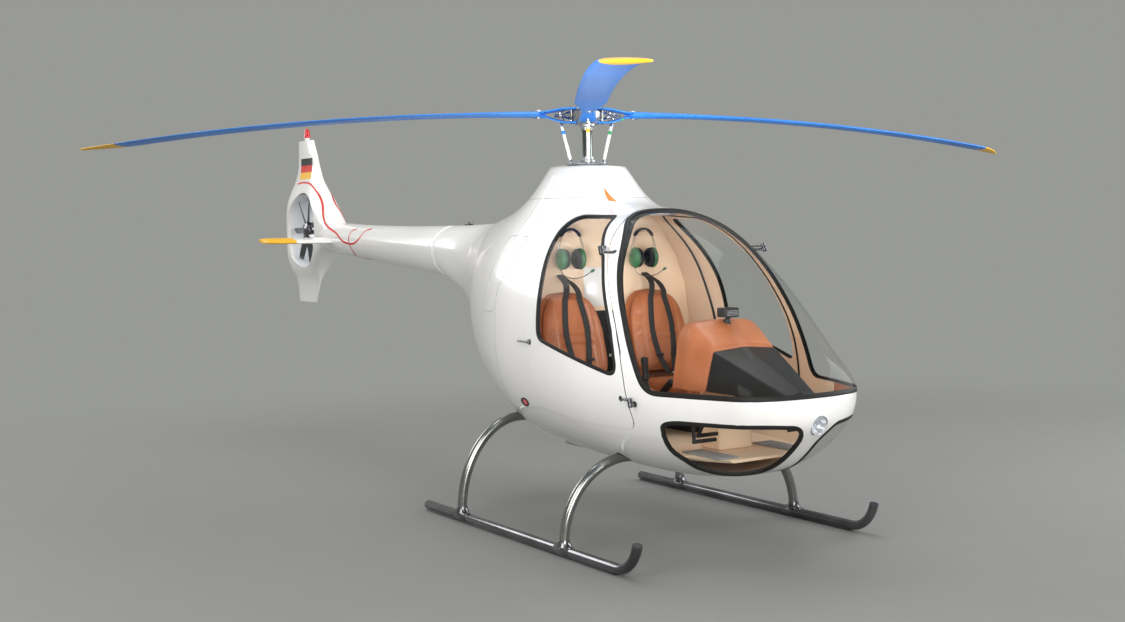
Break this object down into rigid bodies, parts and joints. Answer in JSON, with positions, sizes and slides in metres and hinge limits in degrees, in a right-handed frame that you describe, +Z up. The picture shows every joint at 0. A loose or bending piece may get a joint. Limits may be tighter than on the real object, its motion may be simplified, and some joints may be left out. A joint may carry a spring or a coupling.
{
  "type": "light helicopter",
  "caption": "Light two-seat helicopter on skids, with a teardrop cabin, hinged doors, a bladed main rotor on a pylon and a shrouded tail fan in a finned boom.",
  "frame": {"origin": "on the lower face of the flat belly plate, on the main rotor's axis", "axes": "+Y from nose to tail, +X to port, +Z up along the main rotor's mast"},
  "size_m": [5.5817, 8.0774, 2.468],
  "materials": {
    "white_gelcoat": "glossy white gelcoat on composite",
    "blade_blue": "glossy blue paint on composite",
    "window_acrylic": "clear, faintly grey",
    "clear_lens": "clear lens",
    "red_lens": "red lens",
    "dark_steel": "dark polished steel",
    "bright_steel": "polished steel",
    "cast_aluminium": "cast, matt",
    "beige_liner": "matt beige liner",
    "brown_leather": "stitched leather",
    "black_plastic": "matt black",
    "green_plastic": "green with black pads",
    "black_webbing": "woven webbing"
  },
  "bodies": {
    "airframe": {"cabin_shell": "white_gelcoat", "rear_cowling": "white_gelcoat", "pylon_cowling": "white_gelcoat", "tail_boom": "white_gelcoat", "stabilizer_port": "white_gelcoat", "stabilizer_starboard": "white_gelcoat", "windscreen": "window_acrylic", "chin_window_port": "window_acrylic", "chin_window_starboard": "window_acrylic", "landing_light": "clear_lens", "beacon": "red_lens", "exhaust_pipe": "bright_steel", "belly_plate": "cast_aluminium", "cross_tube_front": "bright_steel", "cross_tube_rear": "bright_steel", "skid_port": "dark_steel", "skid_starboard": "dark_steel", "cabin_floor": "beige_liner", "rear_bulkhead": "beige_liner", "pylon_deck": "cast_aluminium", "engine_deck": "cast_aluminium", "engine_block": "dark_steel", "main_gearbox": "cast_aluminium", "seat_shell_port": "black_plastic", "seat_shell_starboard": "black_plastic", "seat_cushion_port": "brown_leather", "seat_cushion_starboard": "brown_leather", "backrest_port": "brown_leather", "backrest_starboard": "brown_leather", "harness_port": "black_webbing", "harness_starboard": "black_webbing", "headset_port": "green_plastic", "headset_starboard": "green_plastic", "glareshield": "brown_leather", "instrument_panel": "black_plastic", "nose_console": "black_plastic", "compass": "black_plastic", "cyclic_stick_port": "black_plastic", "cyclic_stick_starboard": "black_plastic", "collective_lever": "black_plastic", "pedals": "black_plastic", "fan_gearbox": "cast_aluminium"},
    "main_rotor": {"rotor_mast": "dark_steel", "swashplate": "cast_aluminium", "rotor_hub": "blade_blue", "rotor_blade_1": "blade_blue", "rotor_blade_2": "blade_blue", "rotor_blade_3": "blade_blue", "pitch_link_1": "white_gelcoat", "pitch_link_2": "white_gelcoat", "pitch_link_3": "white_gelcoat"},
    "tail_fan": {"fan_rotor": "dark_steel"},
    "port_door": {"door_port": "white_gelcoat", "door_window_port": "window_acrylic"},
    "starboard_door": {"door_starboard": "white_gelcoat", "door_window_starboard": "window_acrylic"}
  },
  "joints": [
    {"name": "main_rotor_spin", "type": "hinge", "parent": "airframe", "child": "main_rotor", "pos_m": [0, 0, 1.5], "axis": [0, 0, 1], "continuous": true},
    {"name": "tail_fan_spin", "type": "hinge", "parent": "airframe", "child": "tail_fan", "pos_m": [0, 4.425, 1.259], "axis": [1, 0, 0], "continuous": true},
    {"name": "port_door_hinge", "type": "hinge", "parent": "airframe", "child": "port_door", "pos_m": [0.57, -1.349, 0.405], "axis": [0.0775, -0.434, -0.8976], "range_deg": [0, 75]},
    {"name": "starboard_door_hinge", "type": "hinge", "parent": "airframe", "child": "starboard_door", "pos_m": [-0.57, -1.349, 0.405], "axis": [0.0775, 0.434, 0.8976], "range_deg": [0, 75]}
  ]
}
